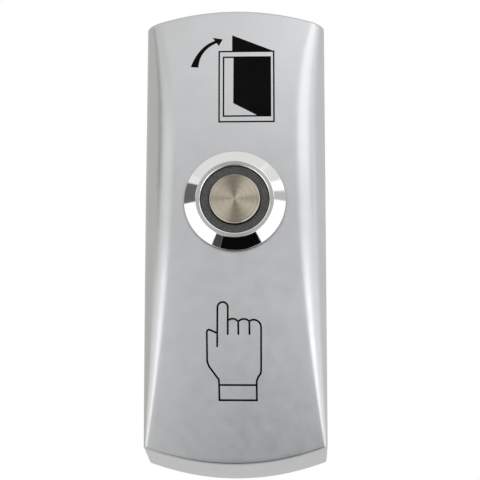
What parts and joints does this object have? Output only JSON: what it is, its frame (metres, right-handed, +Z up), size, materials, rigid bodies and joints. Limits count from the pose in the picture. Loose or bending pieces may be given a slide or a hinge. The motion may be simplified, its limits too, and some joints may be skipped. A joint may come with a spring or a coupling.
{
  "type": "door exit button",
  "caption": "Surface-mounted door exit button: arched satin metal housing with a round momentary push switch and a keyhole-slotted base plate.",
  "frame": {"origin": "middle of the base plate's back face, on the wall, half-way up the housing", "axes": "+Z up along the housing's length, +Y into the wall (the button faces -Y), +X to the right seen from the front"},
  "size_m": [0.032, 0.024, 0.083],
  "materials": {
    "satin_chrome_zinc": "satin chrome on die-cast zinc",
    "zinc_plated_steel": "zinc plated, dull",
    "polished_steel": "polished",
    "brushed_nickel": "spun, concentric brushing",
    "dark_plastic": "fine matt grain",
    "black_rubber": "moulded rubber",
    "spring_steel": "drawn spring steel",
    "black_nylon": "moulded, matt",
    "white_acetal": "moulded, matt",
    "silvered_brass": "silver plated"
  },
  "bodies": {
    "housing": {"front_cover": "satin_chrome_zinc", "base_plate": "zinc_plated_steel", "cover_screw_upper": "zinc_plated_steel", "cover_screw_lower": "zinc_plated_steel", "switch_bezel": "polished_steel", "guide_ring": "dark_plastic", "flange_seal": "black_rubber", "lock_washer": "spring_steel", "fixing_nut": "zinc_plated_steel", "plunger_seal": "black_rubber", "return_spring": "spring_steel", "contact_block": "black_nylon", "terminal_base": "black_nylon", "terminal_no_left": "silvered_brass", "terminal_no_right": "silvered_brass", "terminal_nc_upper": "silvered_brass", "terminal_nc_lower": "silvered_brass"},
    "button": {"push_cap": "brushed_nickel", "plunger": "white_acetal", "retaining_clip": "spring_steel", "contact_disc": "silvered_brass"}
  },
  "joints": [
    {"name": "button_push", "type": "slide", "parent": "housing", "child": "button", "axis": [0, 1, 0], "range_m": [0, 0.0016], "stiffness_N_per_m": 800, "springref_m": -0.002, "deforming": ["return_spring"]}
  ]
}
